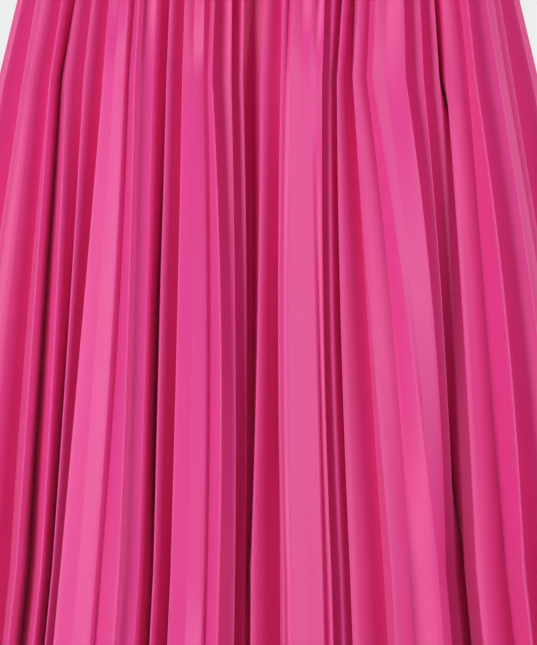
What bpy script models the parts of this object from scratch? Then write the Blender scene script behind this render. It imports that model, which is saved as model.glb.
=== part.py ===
"""A pleated midi skirt as it hangs when worn: waistband, front panel and back panel.

Units are metres, +Z is up, and the front faces -Y, so +X is to the right of someone who faces it.
The origin is the centre of the waistband, where the waist holds the skirt.

Each panel is one wall of cloth, folded to and fro into sunray pleats. A fold that stands out is a
crest and the one between two crests is a valley. The faces between the folds widen from the
waistband to the hem, and a valley lies where the two faces of its gap meet.
"""

import math

import bpy
import numpy as np

# Driving dimensions
SKIRT_LENGTH = 0.800
BAND_HEIGHT = 0.040
BAND_WALL = 0.003
CLOTH_WALL = 0.0012
SEAM_GAP = 0.0003
FOLD_FLAT = 0.0014

# The body of the skirt, a row for each level: its height, half its width at the side seams, how
# far it reaches to the front and to the back, how square it is (2 is an ellipse), and the width
# of one pleat face.
BODY_COLUMNS = ("height", "half_width", "front", "back", "square", "face")
BODY = np.array([
    (0.020, 0.129, 0.090, 0.095, 2.10, 0.0048),
    (-0.020, 0.132, 0.093, 0.098, 2.12, 0.0052),
    (-0.060, 0.152, 0.107, 0.116, 2.20, 0.0085),
    (-0.120, 0.176, 0.124, 0.138, 2.32, 0.0120),
    (-0.200, 0.197, 0.140, 0.159, 2.45, 0.0152),
    (-0.280, 0.213, 0.152, 0.171, 2.55, 0.0180),
    (-0.470, 0.246, 0.178, 0.194, 2.60, 0.0245),
    (-0.660, 0.276, 0.202, 0.215, 2.60, 0.0310),
    (-0.780, 0.294, 0.216, 0.227, 2.60, 0.0350),
])

# The crests that the front shows, from left to right, at the upper, middle and lower fold level:
# where each is seen from the front and how far it stands out, in millimetres, and how much of a
# face's width the gap to its right takes. A gap with a small share is pressed shallow.
FOLD_LEVELS = (-0.280, -0.470, -0.660)
FRONT_FOLD_COLUMNS = (
    "x_upper", "x_middle", "x_lower",
    "out_upper", "out_middle", "out_lower",
    "share_upper", "share_middle", "share_lower",
)
FRONT_FOLDS = (
    (-168, -181, -194, 13, 12, 14, 1.00, 1.00, 1.00),
    (-156, -164, -175, 7, 3, 5, 1.00, 1.00, 1.00),
    (-142, -153, -166, 8, 1, 3, 1.00, 1.00, 1.00),
    (-127, -143, -160, 8, 2, 6, 1.00, 1.00, 1.00),
    (-103, -108, -115, 7, 5, 6, 0.90, 0.85, 0.85),
    (-89, -94, -100, -6, -8, -8, 1.00, 1.00, 1.00),
    (-78, -83, -88, -4, -8, -7, 1.00, 1.00, 1.00),
    (-66, -70, -75, 1, -3, -4, 1.00, 0.95, 0.90),
    (-44, -37, -38, 8, 7, 5, 0.95, 0.75, 0.55),
    (-29, -26, -26, -3, -4, -8, 0.95, 0.80, 0.50),
    (-20, -17, -18, -9, -15, -22, 0.75, 0.80, 0.50),
    (-14, -12, -15, -28, -30, -34, 0.70, 0.60, 0.50),
    (-6, -8, -13, -9, -6, -5, 1.00, 1.00, 1.00),
    (10, 8, 11, 1, 1, 4, 0.90, 0.90, 0.95),
    (32, 36, 41, -5, -10, -6, 0.40, 0.30, 0.40),
    (41, 42, 48, -8, -12, -10, 1.00, 0.90, 0.90),
    (47, 49, 56, -16, -18, -18, 1.00, 1.00, 1.00),
    (53, 56, 63, -12, -15, -13, 1.00, 1.00, 1.00),
    (65, 79, 95, -6, -1, 4, 1.00, 1.00, 1.00),
    (80, 108, 130, 2, 10, -1, 1.00, 0.85, 0.70),
    (105, 127, 136, 6, 6, -19, 1.00, 0.85, 0.50),
    (119, 134, 143, -1, -5, -27, 1.00, 0.80, 0.50),
    (131, 143, 151, -6, -12, -23, 1.00, 0.75, 0.60),
    (137, 150, 160, -4, 3, -4, 1.00, 1.00, 1.00),
    (159, 183, 196, 18, 21, 19, 1.00, 1.00, 1.00),
)

# The x columns above are as seen from this far in front of the origin, and are measured in the
# upright plane that touches the front of the body at the middle fold level
VIEW_DISTANCE = 3.0

# The crests between the last one above and the side seam: the share of that way at which each
# lies, and how far it stands out, in millimetres. The lean moves them, so that the left side
# isn't the mirror image of the right.
SIDE_FOLD_COLUMNS = ("way", "out_upper", "out_middle", "out_lower")
SIDE_FOLDS = (
    (0.14, 17, 20, 22),
    (0.27, 6, 8, 10),
    (0.38, -5, -6, -4),
    (0.50, -6, -8, -7),
    (0.64, 5, 6, 8),
    (0.79, 8, 12, 13),
    (0.93, 2, 3, 3),
)
SIDE_LEAN = 0.012

# Above the upper fold level, the power by which the crests lose their height towards the band
EVENING_POWER = 1.2
# Two faces that are pulled apart still keep a slight bend: half their span over a face's width
MOST_SPREAD = 0.995

# Rings of the wall, from the waistband down to the hem
CLOTH_TOP = -BAND_HEIGHT / 2 - SEAM_GAP
HEM = BAND_HEIGHT / 2 - SKIRT_LENGTH
RING_HEIGHTS = (
    CLOTH_TOP, -0.060, -0.120, -0.200, -0.280, -0.375, -0.470, -0.565, -0.660, HEM
)
BAND_POINTS = 72
MM = 0.001

HOT_PINK = (0.80, 0.065, 0.270, 1.0)
CLOTH_ROUGHNESS = 0.55
BAND_ROUGHNESS = 0.60


def body_at(height):
    """The row of BODY at a height, as a dictionary."""
    levels = BODY[::-1, 0]
    row = [np.interp(height, levels, BODY[::-1, column]) for column in range(len(BODY_COLUMNS))]
    return dict(zip(BODY_COLUMNS, row))


def half_outline(height, front, steps=720):
    """The body's front or back half at a height, from -X to +X, with its outward directions."""
    body = body_at(height)
    reach = body["front"] if front else body["back"]
    power = body["square"]
    turn = np.linspace(math.pi, 0.0, steps + 1)
    radius = (
        np.abs(np.cos(turn) / body["half_width"]) ** power + np.abs(np.sin(turn) / reach) ** power
    ) ** (-1.0 / power)
    facing = -1.0 if front else 1.0
    line = np.stack([radius * np.cos(turn), facing * radius * np.sin(turn)], axis=1)
    along = np.gradient(line, axis=0)
    along /= np.linalg.norm(along, axis=1)[:, None]
    outward = np.stack([along[:, 1], -along[:, 0]], axis=1) * -facing
    way = np.concatenate([[0.0], np.cumsum(np.linalg.norm(np.diff(line, axis=0), axis=1))])
    return line, outward, way / way[-1] * 2.0 - 1.0


def at_level(height, row, name):
    """What a row of a fold table says under a name, read at a height between the fold levels."""
    high, middle, low = (row[name + level] for level in ("_upper", "_middle", "_lower"))
    share = (height - FOLD_LEVELS[1]) / (FOLD_LEVELS[0] - FOLD_LEVELS[1])
    return middle + share * (high - low) / 2 + share**2 * ((high + low) / 2 - middle)


def crests(height, front):
    """The crests from -X to +X: the place of each along the half outline, from -1 to 1, how far
    it stands out, and the share of a face's width that the gap to its right takes."""
    level = min(max(height, FOLD_LEVELS[2]), FOLD_LEVELS[0])
    line, outward, way = half_outline(level, True)
    plane = VIEW_DISTANCE - body_at(FOLD_LEVELS[1])["front"]
    found = []
    for values in FRONT_FOLDS:
        row = dict(zip(FRONT_FOLD_COLUMNS, values))
        out = at_level(level, row, "out") * MM
        points = line + out * outward
        seen = points[:, 0] * plane / (VIEW_DISTANCE + points[:, 1])
        place = float(np.interp(at_level(level, row, "x") * MM, seen, way))
        found.append((place, out, at_level(level, row, "share")))
    for side, (edge, _, _) in ((-1.0, found[0]), (1.0, found[-1])):
        for values in SIDE_FOLDS:
            row = dict(zip(SIDE_FOLD_COLUMNS, values))
            place = edge + (side - edge) * (row["way"] + side * SIDE_LEAN)
            found.append((place, at_level(level, row, "out") * MM, 1.0))
    places, stands, shares = np.array(sorted(found)).T
    # Above the upper level the pleats even out towards the waistband
    even = (np.arange(len(places)) + 0.5) / len(places) * 2.0 - 1.0
    reach = min(1.0, height / FOLD_LEVELS[0])
    places = even + (places - even) * reach
    stands = stands * reach**EVENING_POWER
    shares = 1.0 + (shares - 1.0) * reach
    if not front:
        # The back is the front turned half way round, so its gaps count from the other end
        places = -places[::-1]
        stands = stands[::-1]
        shares = np.roll(shares[::-1], -1)
    return places, stands, shares


def valley_between(left, right, face, inward):
    """Where two faces of one width meet on the inner side of two crests."""
    chord = right - left
    length = float(np.hypot(*chord))
    half = min(length / 2, face * MOST_SPREAD)
    rise = math.sqrt(face**2 - half**2)
    side = np.array([-chord[1], chord[0]]) / length
    if side @ inward < 0:
        side = -side
    return (left + right) / 2 + side * rise


def fold_line(height, front):
    """The sharp folds of a panel at a height: valley, crest, valley and so on, from -X to +X."""
    line, outward, way = half_outline(height, front)
    places, stands, shares = crests(height, front)
    face = body_at(height)["face"]
    bases = np.column_stack([np.interp(places, way, line[:, axis]) for axis in (0, 1)])
    aways = np.column_stack([np.interp(places, way, outward[:, axis]) for axis in (0, 1)])
    tips = bases + stands[:, None] * aways
    mirror = np.array([1.0, -1.0])
    folds = [valley_between(tips[0] * mirror, tips[0], face, np.array([1.0, 0.0]))]
    for index in range(len(tips) - 1):
        folds.append(tips[index])
        inward = -aways[index] - aways[index + 1]
        width = face * shares[index]
        folds.append(valley_between(tips[index], tips[index + 1], width, inward))
    folds.append(tips[-1])
    folds.append(valley_between(tips[-1], tips[-1] * mirror, face, np.array([-1.0, 0.0])))
    edge = (-1.0 if front else 1.0) * SEAM_GAP / 2
    folds[0][1] = edge
    folds[-1][1] = edge
    return np.array(folds)


def unit(vector):
    return vector / np.linalg.norm(vector)


def blunted(folds):
    """Each fold as a short flat across it, so that the wall can turn there without crossing."""
    points = [folds[0]]
    for before, fold, after in zip(folds, folds[1:], folds[2:]):
        across = unit(unit(fold - before) + unit(after - fold))
        points.append(fold - across * FOLD_FLAT / 2)
        points.append(fold + across * FOLD_FLAT / 2)
    points.append(folds[-1])
    return np.array(points)


def moved_out(points, distance, front):
    """A line in plan moved to its outer side by a distance, square to each of its runs."""
    sign = 1.0 if front else -1.0
    runs = np.diff(points, axis=0)
    runs /= np.linalg.norm(runs, axis=1)[:, None]
    normals = np.stack([runs[:, 1], -runs[:, 0]], axis=1) * sign
    # At the side seams the wall ends square to Y, as half of a fold that both panels share
    ends = np.array([1.0, -1.0])
    normals = np.vstack([normals[0] * ends, normals, normals[-1] * ends])
    sums = normals[:-1] + normals[1:]
    return points + distance * sums * 2.0 / np.sum(sums * sums, axis=1)[:, None]


def new_object(name, points, faces, colour, roughness):
    """A mesh object with a material of its own."""
    mesh = bpy.data.meshes.new(name)
    mesh.from_pydata([tuple(float(value) for value in point) for point in points], [], faces)
    mesh.validate()
    material = bpy.data.materials.new(name + "_cloth")
    material.use_nodes = True
    shader = material.node_tree.nodes["Principled BSDF"]
    shader.inputs["Base Color"].default_value = colour
    shader.inputs["Roughness"].default_value = roughness
    shader.inputs["Metallic"].default_value = 0.0
    mesh.materials.append(material)
    piece = bpy.data.objects.new(name, mesh)
    bpy.context.collection.objects.link(piece)
    return piece


def closed_wall(outer, inner, joined):
    """Points and faces of a wall between two grids of rings, joined round or with two ends."""
    rings, count = outer.shape[0], outer.shape[1]
    points = np.concatenate([outer.reshape(-1, 3), inner.reshape(-1, 3)])
    start = rings * count
    faces = []
    for ring in range(rings - 1):
        for index in range(count if joined else count - 1):
            a = ring * count + index
            b = ring * count + (index + 1) % count
            faces.append((a, a + count, b + count, b))
            faces.append((start + a, start + b, start + b + count, start + a + count))
    for index in range(count if joined else count - 1):
        top = (index, (index + 1) % count)
        low = tuple((rings - 1) * count + spot for spot in top)
        faces.append((top[0], top[1], start + top[1], start + top[0]))
        faces.append((low[1], low[0], start + low[0], start + low[1]))
    if not joined:
        for ring in range(rings - 1):
            a = ring * count
            b = a + count - 1
            faces.append((a, start + a, start + a + count, a + count))
            faces.append((b, b + count, start + b + count, start + b))
    return points, faces


def panel(name, front):
    """One half of the skirt, from side seam to side seam."""
    outer = []
    inner = []
    for height in RING_HEIGHTS:
        middle = blunted(fold_line(height, front))
        for grid, side in ((outer, 1.0), (inner, -1.0)):
            ring = moved_out(middle, side * CLOTH_WALL / 2, front)
            grid.append(np.column_stack([ring, np.full(len(ring), height)]))
    points, faces = closed_wall(np.array(outer), np.array(inner), joined=False)
    if not front:
        faces = [face[::-1] for face in faces]
    return new_object(name, points, faces, HOT_PINK, CLOTH_ROUGHNESS)


def waistband():
    """A plain elastic band round the waist, a little proud of the pleats under it."""
    outer = []
    inner = []
    for height in (BAND_HEIGHT / 2, 0.0, -BAND_HEIGHT / 2):
        steps = BAND_POINTS // 2
        front_line, front_out, _ = half_outline(height, True, steps)
        back_line, back_out, _ = half_outline(height, False, steps)
        line = np.concatenate([front_line[:-1], back_line[:0:-1]])
        away = np.concatenate([front_out[:-1], back_out[:0:-1]])
        for grid, proud in ((outer, BAND_WALL / 2), (inner, -BAND_WALL / 2)):
            grid.append(np.column_stack([line + away * proud, np.full(len(line), height)]))
    points, faces = closed_wall(np.array(outer), np.array(inner), joined=True)
    return new_object("waistband", points, faces, HOT_PINK, BAND_ROUGHNESS)


def main():
    for old in list(bpy.data.objects):
        bpy.data.objects.remove(old, do_unlink=True)
    waistband()
    panel("front_panel", front=True)
    panel("back_panel", front=False)


main()
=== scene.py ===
"""Looks of the pleated midi skirt: cloth, hem, waistband, stitches, materials, light and camera.

Units are metres, +Z is up, and the front faces -Y. The crests stand where the solids have them,
but for a few that stand up to 4 mm further back in two recesses. The cloth is a thin wall with
sharp heat-set creases, faces that bow a little, and a narrow rolled hem. Three small folds are
added to each panel that are pressed over their neighbours, and some gaps are shallower than in the
solids.
"""

import math

import bpy
import numpy as np
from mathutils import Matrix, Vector


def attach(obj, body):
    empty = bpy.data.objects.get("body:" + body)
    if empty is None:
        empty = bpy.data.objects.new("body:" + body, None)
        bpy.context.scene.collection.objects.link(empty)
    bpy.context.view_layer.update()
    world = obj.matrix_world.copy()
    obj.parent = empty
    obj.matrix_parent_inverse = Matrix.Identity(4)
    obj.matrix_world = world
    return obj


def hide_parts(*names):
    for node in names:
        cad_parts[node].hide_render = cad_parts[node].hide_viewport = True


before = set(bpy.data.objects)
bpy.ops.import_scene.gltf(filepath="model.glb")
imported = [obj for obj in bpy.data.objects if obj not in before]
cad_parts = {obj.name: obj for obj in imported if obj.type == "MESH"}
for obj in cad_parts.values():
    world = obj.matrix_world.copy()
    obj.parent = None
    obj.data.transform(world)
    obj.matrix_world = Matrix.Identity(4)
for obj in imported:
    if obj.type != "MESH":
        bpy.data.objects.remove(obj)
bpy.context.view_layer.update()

MM = 0.001

# ---------------------------------------------------------------------------------------------
# Sizes
# ---------------------------------------------------------------------------------------------

# Heights of the pieces
BAND_TOP = 0.020
BAND_LOW = -0.020
CLOTH_TOP = -0.0203
CLOTH_LOW = -0.780

# Cloth: a sharp crease has the radius, and a slight bend is rounded over the arc's length
CLOTH_THICK = 0.0006
CREASE_RADIUS = 0.0005
CREASE_ARC = 0.0006
CREASE_POINTS = 4
FACE_POINTS = 4
SEAM_GAP = 0.0003

# Rings of the cloth: close together above OPENING_END, where the pleats open, then even
OPENING_END = -0.100
OPENING_RINGS = 12
LOWER_RINGS = 58

# How far a face bows out, as shares of its width: its steady part, and waves down its length
BOW_MEAN = 0.008
BOW_SPREAD = 0.010
WAVE_LENGTHS = (0.60, 0.31, 0.17)
WAVE_LEAST = 0.002
WAVE_MOST = 0.007

# Rolled hem
HEM_TALL = 0.0035
HEM_THICK = 0.0016
HEM_CLEAR = 0.0001
HEM_RINGS = 7
HEM_SEAM_HEIGHT = CLOTH_LOW + HEM_TALL - 0.0009
HEM_SEAM_MARGIN = 0.001

# Waistband of covered elastic, pinched by rows of stitching between its channels
BAND_THICK = 0.0028
BAND_COLUMNS = 540
BAND_CHANNELS = 4
CHANNEL_RINGS = 8
PINCH_DEPTH = 0.0006
PLUMP_HEIGHT = 0.0007
GATHER_HEIGHT = 0.0005
GATHER_COLUMNS = 6.0
BAND_SEAM_DEPTH = 0.0004

# Stitches: how far apart, how long and how thick
HEM_STITCH = (0.0026, 0.0019, 0.00032)
BAND_STITCH = (0.0032, 0.0024, 0.0004)

# The body of the skirt, a row for each level: its height, half its width at the side seams, how
# far it reaches to the front and to the back, how square it is (2 is an ellipse), and the width
# of one pleat face.
BODY_COLUMNS = ("height", "half_width", "front", "back", "square", "face")
BODY = np.array([
    (0.020, 0.129, 0.090, 0.095, 2.10, 0.0048),
    (-0.020, 0.132, 0.093, 0.098, 2.12, 0.0052),
    (-0.060, 0.152, 0.107, 0.116, 2.20, 0.0085),
    (-0.120, 0.176, 0.124, 0.138, 2.32, 0.0120),
    (-0.200, 0.197, 0.140, 0.159, 2.45, 0.0152),
    (-0.280, 0.213, 0.152, 0.171, 2.55, 0.0180),
    (-0.470, 0.246, 0.178, 0.194, 2.60, 0.0245),
    (-0.660, 0.276, 0.202, 0.215, 2.60, 0.0310),
    (-0.780, 0.294, 0.216, 0.227, 2.60, 0.0350),
])

# The crests that the front shows, from left to right, at the upper, middle and lower fold level:
# where each is seen from the front and how far it stands out, in millimetres. Then the two faces
# of the gap to its right, the near one and the far one, as shares of a full face's width. Small
# shares are a gap pressed shallow, and a small near share is a lip over the face beyond it.
FOLD_LEVELS = (-0.280, -0.470, -0.660)
FRONT_FOLD_COLUMNS = (
    "x_upper", "x_middle", "x_lower",
    "out_upper", "out_middle", "out_lower",
    "near_upper", "near_middle", "near_lower",
    "far_upper", "far_middle", "far_lower",
)
FRONT_FOLDS = (
    (-168, -181, -194, 13, 12, 14, 1.00, 1.00, 1.00, 1.00, 1.00, 1.00),
    (-156, -164, -175, 7, 3, 5, 1.00, 1.00, 1.00, 1.00, 1.00, 1.00),
    (-142, -153, -166, 8, 1, 3, 1.00, 1.00, 1.00, 1.00, 1.00, 1.00),
    (-127, -143, -160, 8, 2, 6, 0.42, 0.45, 0.42, 0.42, 0.45, 0.42),
    (-111, -120, -133, 5, 0, 3, 0.30, 0.26, 0.20, 0.56, 0.60, 0.62),
    (-103, -108, -115, 7, 5, 6, 0.55, 0.42, 0.36, 0.55, 0.42, 0.36),
    (-89, -94, -100, -6, -8, -8, 1.00, 1.00, 1.00, 1.00, 1.00, 1.00),
    (-78, -83, -88, -4, -8, -7, 1.00, 1.00, 1.00, 1.00, 1.00, 1.00),
    (-66, -70, -75, 1, -3, -4, 0.45, 0.44, 0.40, 0.45, 0.44, 0.40),
    (-50, -48, -50, -2, -4, -4, 0.22, 0.18, 0.14, 0.68, 0.66, 0.50),
    (-44, -37, -38, 8, 7, 5, 0.92, 0.70, 0.55, 0.92, 0.70, 0.55),
    (-29, -26, -26, -3, -6, -12, 0.95, 0.80, 0.50, 0.95, 0.80, 0.50),
    (-20, -17, -18, -10, -17, -25, 0.75, 0.80, 0.50, 0.75, 0.80, 0.50),
    (-14, -12, -15, -28, -32, -36, 0.70, 0.60, 0.50, 0.70, 0.60, 0.50),
    (-6, -8, -13, -9, -6, -5, 1.00, 1.00, 1.00, 1.00, 1.00, 1.00),
    (10, 8, 11, 1, 1, 4, 0.25, 0.17, 0.12, 0.25, 0.17, 0.12),
    (17, 15, 17, 0, -1, 3, 0.43, 0.45, 0.40, 0.43, 0.45, 0.40),
    (32, 36, 41, -5, -10, -6, 0.25, 0.18, 0.22, 0.25, 0.18, 0.22),
    (41, 42, 48, -8, -12, -10, 1.00, 0.90, 0.90, 1.00, 0.90, 0.90),
    (47, 49, 56, -16, -18, -18, 1.00, 1.00, 1.00, 1.00, 1.00, 1.00),
    (53, 56, 63, -12, -15, -13, 1.00, 1.00, 1.00, 1.00, 1.00, 1.00),
    (65, 79, 95, -6, -1, 4, 0.70, 0.75, 0.72, 0.70, 0.75, 0.72),
    (80, 108, 130, 2, 10, -1, 0.60, 0.20, 0.32, 0.85, 0.72, 0.58),
    (105, 127, 136, 6, 3, -22, 1.00, 0.80, 0.45, 1.00, 0.80, 0.45),
    (119, 134, 143, -1, -7, -29, 1.00, 0.75, 0.45, 1.00, 0.75, 0.45),
    (131, 143, 151, -6, -12, -23, 1.00, 0.75, 0.60, 1.00, 0.75, 0.60),
    (137, 150, 160, -4, 3, -4, 1.00, 1.00, 1.00, 1.00, 1.00, 1.00),
    (159, 183, 196, 18, 21, 19, 1.00, 1.00, 1.00, 1.00, 1.00, 1.00),
)

# The x columns above are as seen from this far in front of the origin, and are measured in the
# upright plane that touches the front of the body at the middle fold level
VIEW_DISTANCE = 3.0

# The crests between the last one above and the side seam: the share of that way at which each
# lies, and how far it stands out, in millimetres. The lean moves them, so that the left side
# isn't the mirror image of the right.
SIDE_FOLD_COLUMNS = ("way", "out_upper", "out_middle", "out_lower")
SIDE_FOLDS = (
    (0.14, 17, 20, 22),
    (0.27, 6, 8, 10),
    (0.38, -5, -6, -4),
    (0.50, -6, -8, -7),
    (0.64, 5, 6, 8),
    (0.79, 8, 12, 13),
    (0.93, 2, 3, 3),
)
SIDE_LEAN = 0.012

# Above the upper fold level, the power by which the crests lose their height towards the band
EVENING_POWER = 1.2
# Two faces that are pulled apart still keep a slight bend: their span is at most this share of
# their widths together
MOST_SPREAD = 0.999


# ---------------------------------------------------------------------------------------------
# Plan of the folds at any height
# ---------------------------------------------------------------------------------------------


def body_at(height):
    """The row of BODY at a height, as a dictionary."""
    levels = BODY[::-1, 0]
    row = [np.interp(height, levels, BODY[::-1, column]) for column in range(len(BODY_COLUMNS))]
    return dict(zip(BODY_COLUMNS, row))


def half_outline(height, front, steps=720):
    """The body's front or back half at a height, from -X to +X, with its outward directions."""
    body = body_at(height)
    reach = body["front"] if front else body["back"]
    power = body["square"]
    turn = np.linspace(math.pi, 0.0, steps + 1)
    radius = (
        np.abs(np.cos(turn) / body["half_width"]) ** power + np.abs(np.sin(turn) / reach) ** power
    ) ** (-1.0 / power)
    facing = -1.0 if front else 1.0
    line = np.stack([radius * np.cos(turn), facing * radius * np.sin(turn)], axis=1)
    along = np.gradient(line, axis=0)
    along /= np.linalg.norm(along, axis=1)[:, None]
    outward = np.stack([along[:, 1], -along[:, 0]], axis=1) * -facing
    way = np.concatenate([[0.0], np.cumsum(np.linalg.norm(np.diff(line, axis=0), axis=1))])
    return line, outward, way / way[-1] * 2.0 - 1.0


def at_level(height, row, name):
    """What a row of a fold table says under a name, read at a height between the fold levels."""
    high, middle, low = (row[name + level] for level in ("_upper", "_middle", "_lower"))
    share = (height - FOLD_LEVELS[1]) / (FOLD_LEVELS[0] - FOLD_LEVELS[1])
    return middle + share * (high - low) / 2 + share**2 * ((high + low) / 2 - middle)


def crests(height, front):
    """The crests from -X to +X: the place of each along the half outline, from -1 to 1, how far
    it stands out, and the shares of a face's width of the gap's two faces to its right."""
    level = min(max(height, FOLD_LEVELS[2]), FOLD_LEVELS[0])
    line, outward, way = half_outline(level, True)
    plane = VIEW_DISTANCE - body_at(FOLD_LEVELS[1])["front"]
    found = []
    for values in FRONT_FOLDS:
        row = dict(zip(FRONT_FOLD_COLUMNS, values))
        out = at_level(level, row, "out") * MM
        points = line + out * outward
        seen = points[:, 0] * plane / (VIEW_DISTANCE + points[:, 1])
        place = float(np.interp(at_level(level, row, "x") * MM, seen, way))
        found.append((place, out, at_level(level, row, "near"), at_level(level, row, "far")))
    for side, (edge, _, _, _) in ((-1.0, found[0]), (1.0, found[-1])):
        for values in SIDE_FOLDS:
            row = dict(zip(SIDE_FOLD_COLUMNS, values))
            place = edge + (side - edge) * (row["way"] + side * SIDE_LEAN)
            found.append((place, at_level(level, row, "out") * MM, 1.0, 1.0))
    places, stands, nears, fars = np.array(sorted(found)).T
    # Above the upper level the pleats even out towards the waistband
    even = (np.arange(len(places)) + 0.5) / len(places) * 2.0 - 1.0
    reach = min(1.0, height / FOLD_LEVELS[0])
    places = even + (places - even) * reach
    stands = stands * reach**EVENING_POWER
    nears = 1.0 + (nears - 1.0) * reach
    fars = 1.0 + (fars - 1.0) * reach
    if not front:
        # The back is the front turned half way round, so its gaps count from the other end
        places = -places[::-1]
        stands = stands[::-1]
        nears, fars = np.roll(fars[::-1], -1), np.roll(nears[::-1], -1)
    return places, stands, nears, fars


def valley_between(left, right, near, far, inward):
    """Where two faces, near wide from the left and far wide from the right, meet inside."""
    chord = right - left
    length = float(np.hypot(*chord))
    if length > (near + far) * MOST_SPREAD:
        widen = length / (near + far) / MOST_SPREAD
        near *= widen
        far *= widen
    along = (length**2 + near**2 - far**2) / (2 * length)
    rise = math.sqrt(max(near**2 - along**2, 0.0))
    side = np.array([-chord[1], chord[0]]) / length
    if side @ inward < 0:
        side = -side
    return left + chord / length * along + side * rise


def fold_line(height, front):
    """The sharp folds of a panel at a height: valley, crest, valley and so on, from -X to +X."""
    line, outward, way = half_outline(height, front)
    places, stands, nears, fars = crests(height, front)
    face = body_at(height)["face"]
    bases = np.column_stack([np.interp(places, way, line[:, axis]) for axis in (0, 1)])
    aways = np.column_stack([np.interp(places, way, outward[:, axis]) for axis in (0, 1)])
    tips = bases + stands[:, None] * aways
    mirror = np.array([1.0, -1.0])
    folds = [valley_between(tips[0] * mirror, tips[0], face, face, np.array([1.0, 0.0]))]
    for index in range(len(tips) - 1):
        folds.append(tips[index])
        inward = -aways[index] - aways[index + 1]
        widths = face * nears[index], face * fars[index]
        folds.append(valley_between(tips[index], tips[index + 1], *widths, inward))
    folds.append(tips[-1])
    folds.append(valley_between(tips[-1], tips[-1] * mirror, face, face, np.array([-1.0, 0.0])))
    edge = (-1.0 if front else 1.0) * SEAM_GAP / 2
    folds[0][1] = edge
    folds[-1][1] = edge
    return np.array(folds)


def unit(vector):
    return vector / np.linalg.norm(vector)


def moved_out(points, distance, front):
    """A line in plan moved to its outer side by a distance, square to each of its runs."""
    sign = 1.0 if front else -1.0
    runs = np.diff(points, axis=0)
    runs /= np.linalg.norm(runs, axis=1)[:, None]
    normals = np.stack([runs[:, 1], -runs[:, 0]], axis=1) * sign
    # At the side seams the wall ends square to Y, as half of a fold that both panels share
    ends = np.array([1.0, -1.0])
    normals = np.vstack([normals[0] * ends, normals, normals[-1] * ends])
    sums = normals[:-1] + normals[1:]
    return points + distance * sums * 2.0 / np.sum(sums * sums, axis=1)[:, None]


# ---------------------------------------------------------------------------------------------
# Meshes
# ---------------------------------------------------------------------------------------------


def mesh_piece(name, points, faces, material, smooth=True):
    """A mesh object with its material, linked to the scene."""
    mesh = bpy.data.meshes.new(name)
    mesh.from_pydata(np.asarray(points).tolist(), [], faces)
    mesh.polygons.foreach_set("use_smooth", [smooth] * len(mesh.polygons))
    mesh.materials.append(material)
    piece = bpy.data.objects.new(name, mesh)
    bpy.context.collection.objects.link(piece)
    return piece


def wall(outer, inner, joined, flip=False):
    """Points and faces of a closed wall between two grids of rings, joined round or open."""
    rings, count = outer.shape[0], outer.shape[1]
    points = np.concatenate([outer.reshape(-1, 3), inner.reshape(-1, 3)])
    start = rings * count
    steps = count if joined else count - 1
    faces = []
    for ring in range(rings - 1):
        for index in range(steps):
            a = ring * count + index
            b = ring * count + (index + 1) % count
            faces.append((a, a + count, b + count, b))
            faces.append((start + a, start + b, start + b + count, start + a + count))
    for index in range(steps):
        top = (index, (index + 1) % count)
        low = tuple((rings - 1) * count + spot for spot in top)
        faces.append((top[0], top[1], start + top[1], start + top[0]))
        faces.append((low[1], low[0], start + low[0], start + low[1]))
    if not joined:
        for ring in range(rings - 1):
            a = ring * count
            b = a + count - 1
            faces.append((a, start + a, start + a + count, a + count))
            faces.append((b, b + count, start + b + count, start + b))
    if flip:
        faces = [face[::-1] for face in faces]
    return points, faces


def creased_line(height, front, lifts):
    """The cloth's middle line at a height: rounded creases, and faces lifted a little between."""
    folds = fold_line(height, front)
    sign = 1.0 if front else -1.0
    runs = [folds[0][None, :]]
    for before, fold, after in zip(folds, folds[1:], folds[2:]):
        into = unit(fold - before)
        away = unit(after - fold)
        turning = math.acos(float(np.clip(into @ away, -1.0, 1.0)))
        angle = np.linspace(-turning / 2, turning / 2, CREASE_POINTS)[:, None]
        tip = unit(into - away)
        radius = max(CREASE_RADIUS, CREASE_ARC / turning)
        centre = fold - tip * radius
        bend = np.cos(angle) * tip + np.sin(angle) * unit(into + away)
        runs.append(centre + radius * bend)
    runs.append(folds[-1][None, :])
    share = np.arange(1, FACE_POINTS + 1)[:, None] / (FACE_POINTS + 1)
    points = [runs[0]]
    for left, right, lift in zip(runs, runs[1:], lifts):
        run = right[0] - left[-1]
        normal = np.array([run[1], -run[0]]) * sign
        points.append(left[-1] + share * run + lift * 4.0 * share * (1.0 - share) * normal)
        points.append(right)
    return np.concatenate(points)


def face_lifts(front):
    """How far each face bows out at a height, as a share of its width. No two are alike."""
    random = np.random.default_rng(7 if front else 11)
    faces = 2 * (len(FRONT_FOLDS) + 2 * len(SIDE_FOLDS))
    steady = random.normal(BOW_MEAN, BOW_SPREAD, faces)
    waves = 2.0 * math.pi / np.array(WAVE_LENGTHS)
    sizes = random.uniform(WAVE_LEAST, WAVE_MOST, (faces, len(waves)))
    starts = random.uniform(0.0, 2.0 * math.pi, (faces, len(waves)))

    def at(height):
        return steady + (sizes * np.sin(waves * height + starts)).sum(axis=1)

    return at


def cloth_wall(name, front, levels, material):
    """A thin closed wall on a half's middle line. A level is a height and half a thickness."""
    lifts = face_lifts(front)
    outer = []
    inner = []
    for height, half in levels:
        middle = creased_line(height, front, lifts(height))
        for grid, offset in ((outer, half), (inner, -half)):
            ring = moved_out(middle, offset, front)
            grid.append(np.column_stack([ring, np.full(len(ring), height)]))
    points, faces = wall(np.array(outer), np.array(inner), joined=False, flip=not front)
    return mesh_piece(name, points, faces, material)


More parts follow.
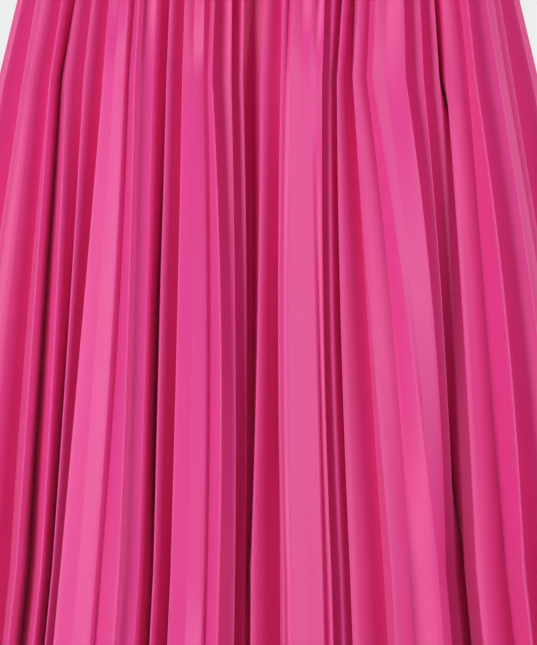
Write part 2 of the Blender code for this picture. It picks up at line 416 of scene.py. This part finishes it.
def pleated_panel(name, front, material):
    """One half of the pleated cloth, from side seam to side seam."""
    upper = np.linspace(CLOTH_TOP, OPENING_END, OPENING_RINGS)
    lower = np.linspace(OPENING_END, CLOTH_LOW, LOWER_RINGS)
    heights = np.concatenate([upper[:-1], lower])
    levels = [(height, CLOTH_THICK / 2) for height in heights]
    return cloth_wall(name, front, levels, material)


def rolled_hem(name, front, material):
    """The narrow hem, rolled round the cloth's lower edge."""
    levels = []
    for share in np.linspace(0.0, 1.0, HEM_RINGS):
        swell = math.sqrt(max(0.0, 1.0 - (2.0 * share - 1.0) ** 4))
        half = CLOTH_THICK / 2 + HEM_CLEAR + (HEM_THICK - CLOTH_THICK) / 2 * swell
        levels.append((CLOTH_LOW + HEM_TALL * (1.0 - share), half))
    return cloth_wall(name, front, levels, material)


def band_ring(height, proud):
    """Points round the waistband at a height, with how far each stands out from its outline."""
    steps = BAND_COLUMNS // 2
    front_line, front_out, _ = half_outline(height, True, steps)
    back_line, back_out, _ = half_outline(height, False, steps)
    line = np.concatenate([front_line[:-1], back_line[:0:-1]])
    away = np.concatenate([front_out[:-1], back_out[:0:-1]])
    ring = line + away * proud[:, None]
    return np.column_stack([ring, np.full(len(ring), height)])


def waistband_cover(name, material):
    """Cloth over wide elastic: rows of stitching pinch it, and fine gathers run up and down."""
    random = np.random.default_rng(3)
    turn = np.arange(BAND_COLUMNS) * 2.0 * math.pi / GATHER_COLUMNS
    ribs = 0.5 + 0.5 * np.cos(turn + random.uniform(-0.6, 0.6, BAND_COLUMNS))
    ribs *= random.uniform(0.65, 1.0, BAND_COLUMNS)
    outer = []
    inner = []
    for share in np.linspace(0.0, 1.0, CHANNEL_RINGS * BAND_CHANNELS + 1):
        height = BAND_TOP + (BAND_LOW - BAND_TOP) * share
        plump = abs(math.sin(math.pi * BAND_CHANNELS * share)) ** 0.6
        half = BAND_THICK / 2 - PINCH_DEPTH + PLUMP_HEIGHT * plump
        gathers = GATHER_HEIGHT * ribs * (0.45 + 0.55 * plump)
        outer.append(band_ring(height, half + gathers))
        inner.append(band_ring(height, -half - 0.5 * gathers))
    points, faces = wall(np.array(outer), np.array(inner), joined=True)
    return mesh_piece(name, points, faces, material)


def stitches(name, spots, length, thick, material):
    """A row of thread stitches, one small lozenge for each (place, along, away)."""
    points = []
    faces = []
    for place, along, away in spots:
        across = np.cross(along, away)
        start = len(points)
        for share, size in ((-0.5, 0.35), (-0.3, 1.0), (0.3, 1.0), (0.5, 0.35)):
            middle = place + along * length * share
            for side, up in ((-1, 0), (0, 1), (1, 0), (0, -1)):
                points.append(middle + (across * side + away * up) * thick / 2 * size)
        for step in range(3):
            for corner in range(4):
                a = start + step * 4 + corner
                b = start + step * 4 + (corner + 1) % 4
                faces.append((a, b, b + 4, a + 4))
        faces.append(tuple(start + corner for corner in (3, 2, 1, 0)))
        faces.append(tuple(start + 12 + corner for corner in (0, 1, 2, 3)))
    return mesh_piece(name, points, faces, material)


def hem_spots(front, height, pitch):
    """Places for the hem's stitches, along each face but not over its creases."""
    folds = fold_line(height, front)
    sign = 1.0 if front else -1.0
    spots = []
    for left, right in zip(folds, folds[1:]):
        run = right - left
        width = float(np.linalg.norm(run))
        along = run / width
        away = np.array([along[1], -along[0]]) * sign
        sewn = width - 2.0 * HEM_SEAM_MARGIN
        count = int(sewn / pitch)
        for index in range(count):
            place = left + along * (HEM_SEAM_MARGIN + (index + 0.5) * sewn / count)
            proud = place + away * HEM_THICK / 2
            spots.append((
                np.array([*proud, height]), np.array([*along, 0.0]), np.array([*away, 0.0])
            ))
    return spots


def band_spots(height, pitch):
    """Places for a row of stitches round the waistband."""
    ring = band_ring(height, np.full(BAND_COLUMNS, BAND_THICK / 2 - BAND_SEAM_DEPTH))
    closed = np.vstack([ring, ring[:1]])
    way = np.concatenate([[0.0], np.cumsum(np.linalg.norm(np.diff(closed, axis=0), axis=1))])
    spots = []
    for spot in np.arange(0.0, way[-1] - pitch / 2, pitch):
        here = np.array([np.interp(spot, way, closed[:, axis]) for axis in range(3)])
        ahead = np.array([np.interp(spot + pitch / 4, way, closed[:, axis]) for axis in range(3)])
        along = unit(ahead - here)
        spots.append((here, along, np.array([along[1], -along[0], 0.0])))
    return spots


# ---------------------------------------------------------------------------------------------
# Materials
# ---------------------------------------------------------------------------------------------


def add_node(tree, kind, **settings):
    """A shader node with its settings and its unlinked sockets filled in."""
    node = tree.nodes.new(kind)
    for key, value in settings.items():
        if key in node.inputs:
            node.inputs[key].default_value = value
        else:
            setattr(node, key, value)
    return node


def crepe_satin(name, deep, light, roughness, weave_scale, sheen):
    """Crepe satin: a fine uneven grain, faint clouds of colour, and a soft sheen."""
    material = bpy.data.materials.new(name)
    material.use_nodes = True
    tree = material.node_tree
    shader = tree.nodes["Principled BSDF"]
    shader.inputs["Sheen Weight"].default_value = sheen
    shader.inputs["Sheen Roughness"].default_value = 0.5
    shader.inputs["Sheen Tint"].default_value = (1.0, 0.72, 0.86, 1.0)
    shader.inputs["Specular IOR Level"].default_value = 0.7

    place = add_node(tree, "ShaderNodeTexCoord")
    stretch = add_node(tree, "ShaderNodeMapping")
    stretch.inputs["Scale"].default_value = (1.0, 1.0, 0.35)
    clouds = add_node(tree, "ShaderNodeTexNoise", Scale=14.0, Detail=3.0, Roughness=0.55)
    tint = add_node(tree, "ShaderNodeMix", data_type="RGBA")
    tint.inputs["A"].default_value = deep
    tint.inputs["B"].default_value = light
    tree.links.new(place.outputs["Object"], stretch.inputs["Vector"])
    tree.links.new(stretch.outputs["Vector"], clouds.inputs["Vector"])
    tree.links.new(clouds.outputs["Fac"], tint.inputs["Factor"])
    tree.links.new(tint.outputs["Result"], shader.inputs["Base Color"])

    gloss = add_node(tree, "ShaderNodeMapRange")
    gloss.inputs["To Min"].default_value = roughness - 0.05
    gloss.inputs["To Max"].default_value = roughness + 0.05
    tree.links.new(clouds.outputs["Fac"], gloss.inputs["Value"])
    tree.links.new(gloss.outputs["Result"], shader.inputs["Roughness"])

    grain = add_node(tree, "ShaderNodeTexNoise", Scale=weave_scale, Detail=2.0, Roughness=0.7)
    tree.links.new(place.outputs["Object"], grain.inputs["Vector"])
    relief = add_node(tree, "ShaderNodeBump", Strength=0.25, Distance=0.0001)
    tree.links.new(grain.outputs["Fac"], relief.inputs["Height"])
    tree.links.new(relief.outputs["Normal"], shader.inputs["Normal"])
    return material


def thread(name, colour):
    """Matching polyester thread, with a fine twist."""
    material = bpy.data.materials.new(name)
    material.use_nodes = True
    tree = material.node_tree
    shader = tree.nodes["Principled BSDF"]
    shader.inputs["Roughness"].default_value = 0.42
    shader.inputs["Base Color"].default_value = colour
    place = add_node(tree, "ShaderNodeTexCoord")
    twist = add_node(tree, "ShaderNodeTexNoise", Scale=2600.0, Detail=1.0)
    relief = add_node(tree, "ShaderNodeBump", Strength=0.4, Distance=0.0001)
    tree.links.new(place.outputs["Object"], twist.inputs["Vector"])
    tree.links.new(twist.outputs["Fac"], relief.inputs["Height"])
    tree.links.new(relief.outputs["Normal"], shader.inputs["Normal"])
    return material


def floor_finish(name):
    """A plain pale floor with the faintest mottling."""
    material = bpy.data.materials.new(name)
    material.use_nodes = True
    tree = material.node_tree
    shader = tree.nodes["Principled BSDF"]
    shader.inputs["Roughness"].default_value = 0.85
    clouds = add_node(tree, "ShaderNodeTexNoise", Scale=3.0, Detail=3.0)
    tint = add_node(tree, "ShaderNodeMix", data_type="RGBA")
    tint.inputs["A"].default_value = (0.80, 0.79, 0.78, 1.0)
    tint.inputs["B"].default_value = (0.84, 0.83, 0.82, 1.0)
    tree.links.new(clouds.outputs["Fac"], tint.inputs["Factor"])
    tree.links.new(tint.outputs["Result"], shader.inputs["Base Color"])
    return material


# ---------------------------------------------------------------------------------------------
# Stage: floor, light, camera
# ---------------------------------------------------------------------------------------------

FLOOR_HEIGHT = -1.05
FLOOR_RADIUS = 2.3

# How bright the room is for the cloth, and as the camera sees it
ROOM_GLOW = 0.01
ROOM_SEEN = 0.85

# Soft boxes: how far off they stand, their middle's height and how tall they are. Then a row for
# each: name, azimuth in degrees, width in metres, power in watts.
BOX_DISTANCE = 2.4
BOX_HEIGHT = 0.30
BOX_TALL = 2.6
LIGHTS = (
    ("front_left", -42.0, 1.1, 44.0),
    ("front_right", 48.0, 1.6, 33.0),
    ("left", -84.0, 1.0, 4.0),
    ("right", 84.0, 0.9, 9.0),
    ("back_left", -140.0, 1.6, 24.0),
    ("back_right", 140.0, 1.6, 24.0),
)


def floor(height, radius, sides=128):
    """A round floor that ends just inside the soft boxes, so no part of it is left unlit."""
    turn = np.arange(sides) * 2.0 * math.pi / sides
    rim = np.column_stack([radius * np.cos(turn), radius * np.sin(turn), np.full(sides, height)])
    finish = floor_finish("pale_floor")
    mesh_piece("floor", rim, [tuple(range(sides))], finish, smooth=False)


def soft_box(name, azimuth, width, power):
    """A tall upright soft box round the skirt, which the camera doesn't see. Azimuth 0 is in
    front, and 90 is to the right."""
    lamp = bpy.data.lights.new(name, "AREA")
    lamp.shape = "RECTANGLE"
    lamp.size = width
    lamp.size_y = BOX_TALL
    lamp.energy = power
    box = bpy.data.objects.new(name, lamp)
    turn = math.radians(azimuth)
    box.location = (BOX_DISTANCE * math.sin(turn), -BOX_DISTANCE * math.cos(turn), BOX_HEIGHT)
    box.rotation_euler = (math.pi / 2, 0.0, turn)
    box.visible_camera = False
    bpy.context.collection.objects.link(box)


def room_light(glow, seen):
    """The room: a faint even glow on the cloth, and a pale wall far off for the camera."""
    world = bpy.data.worlds.new("room")
    world.use_nodes = True
    tree = world.node_tree
    backdrop = tree.nodes["Background"]
    backdrop.inputs["Color"].default_value = (1.0, 1.0, 1.0, 1.0)
    rays = add_node(tree, "ShaderNodeLightPath")
    level = add_node(tree, "ShaderNodeMix", data_type="FLOAT")
    level.inputs["A"].default_value = glow
    level.inputs["B"].default_value = seen
    tree.links.new(rays.outputs["Is Camera Ray"], level.inputs["Factor"])
    tree.links.new(level.outputs["Result"], backdrop.inputs["Strength"])
    bpy.context.scene.world = world


def camera(distance, height, seen_tall, at_depth):
    """Level, square to the front, and far off. seen_tall is the height in view at at_depth."""
    lens = bpy.data.cameras.new("camera")
    lens.sensor_width = 36.0
    lens.lens = lens.sensor_width * (distance - at_depth) / seen_tall
    eye = bpy.data.objects.new("camera", lens)
    eye.location = (0.0, -distance, height)
    eye.rotation_euler = (math.pi / 2, 0.0, 0.0)
    bpy.context.collection.objects.link(eye)
    bpy.context.scene.camera = eye


# ---------------------------------------------------------------------------------------------
# The scene
# ---------------------------------------------------------------------------------------------

PINK_DEEP = (0.81, 0.036, 0.280, 1.0)
PINK_LIGHT = (0.88, 0.044, 0.320, 1.0)
PINK_THREAD = (0.83, 0.052, 0.310, 1.0)

# The photograph's height in pixels, how many of them show a millimetre of the body's front at the
# middle fold level, and the height at its centre
PHOTO_TALL = 645
PIXELS_PER_MM = 1.3
LOOK_HEIGHT = -0.4707

pleat_cloth = crepe_satin("pleat_crepe_satin", PINK_DEEP, PINK_LIGHT, 0.50, 2400.0, 0.3)
hem_cloth = crepe_satin("hem_crepe_satin", PINK_DEEP, PINK_LIGHT, 0.52, 2400.0, 0.3)
band_cloth = crepe_satin("band_crepe_satin", PINK_DEEP, PINK_LIGHT, 0.55, 2000.0, 0.3)
pink_thread = thread("pink_thread", PINK_THREAD)

for side, front in (("front", True), ("back", False)):
    panel = pleated_panel(side + "_pleats", front, pleat_cloth)
    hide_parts(side + "_panel")
    hem = rolled_hem(side + "_hem", front, hem_cloth)
    pitch, length, thick = HEM_STITCH
    spots = hem_spots(front, HEM_SEAM_HEIGHT, pitch)
    rows = stitches(side + "_hem_stitches", spots, length, thick, pink_thread)
    for piece in (panel, hem, rows):
        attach(piece, "root")

band = waistband_cover("waistband_cover", band_cloth)
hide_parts("waistband")
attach(band, "root")
pitch, length, thick = BAND_STITCH
for row in range(1, BAND_CHANNELS):
    height = BAND_TOP + (BAND_LOW - BAND_TOP) * row / BAND_CHANNELS
    spots = band_spots(height, pitch)
    line = stitches("waistband_stitches_%d" % row, spots, length, thick, pink_thread)
    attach(line, "root")

floor(FLOOR_HEIGHT, FLOOR_RADIUS)
for values in LIGHTS:
    soft_box(*values)
room_light(ROOM_GLOW, ROOM_SEEN)
seen_tall = PHOTO_TALL / PIXELS_PER_MM * MM
camera(VIEW_DISTANCE, LOOK_HEIGHT, seen_tall, body_at(FOLD_LEVELS[1])["front"])
bpy.context.scene.view_settings.view_transform = "Standard"
